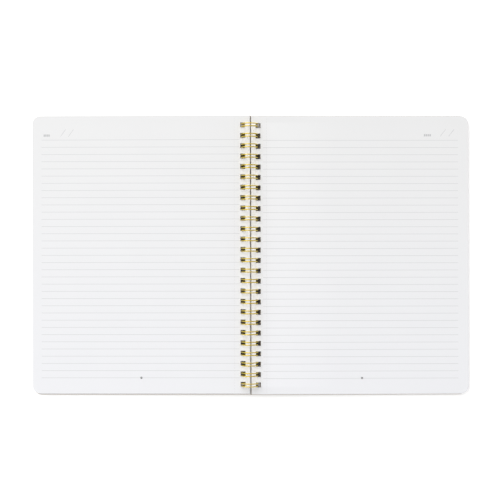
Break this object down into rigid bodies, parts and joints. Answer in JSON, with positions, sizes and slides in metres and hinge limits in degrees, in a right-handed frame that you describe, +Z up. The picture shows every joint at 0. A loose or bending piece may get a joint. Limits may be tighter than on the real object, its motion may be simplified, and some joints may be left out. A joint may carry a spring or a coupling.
{
  "type": "open wire-bound notebook",
  "caption": "Open lined notebook: two stacks of rounded leaves and two thin covers that turn about one row of gold twin-loop rings.",
  "frame": {"origin": "on the table, under the middle of the row of rings, half way between head and tail", "axes": "+X to the reader's right, +Y to the head of the page, +Z up from the table"},
  "size_m": [0.3578, 0.2286, 0.0143],
  "materials": {
    "page_paper": "smooth uncoated white paper",
    "cover_cloth": "thin board covered in oatmeal cloth",
    "gold_wire": "bright gold-coloured wire"
  },
  "bodies": {
    "wire": {"wire": "gold_wire"},
    "front_cover": {"front_cover": "cover_cloth"},
    "left_pages": {"left_pages": "page_paper"},
    "back_cover": {"back_cover": "cover_cloth"},
    "right_pages": {"right_pages": "page_paper"}
  },
  "joints": [
    {"name": "front_cover_hinge", "type": "hinge", "parent": "wire", "child": "front_cover", "pos_m": [0, 0, 0.00716], "axis": [0, 1, 0], "range_deg": [0, 181.67]},
    {"name": "left_pages_turn", "type": "hinge", "parent": "front_cover", "child": "left_pages", "pos_m": [0, 0, 0.00716], "axis": [0, 1, 0], "range_deg": [0, 178.33]},
    {"name": "back_cover_hinge", "type": "hinge", "parent": "wire", "child": "back_cover", "pos_m": [0, 0, 0.00716], "axis": [0, -1, 0], "range_deg": [0, 181.67]},
    {"name": "right_pages_turn", "type": "hinge", "parent": "back_cover", "child": "right_pages", "pos_m": [0, 0, 0.00716], "axis": [0, -1, 0], "range_deg": [0, 178.33]}
  ]
}
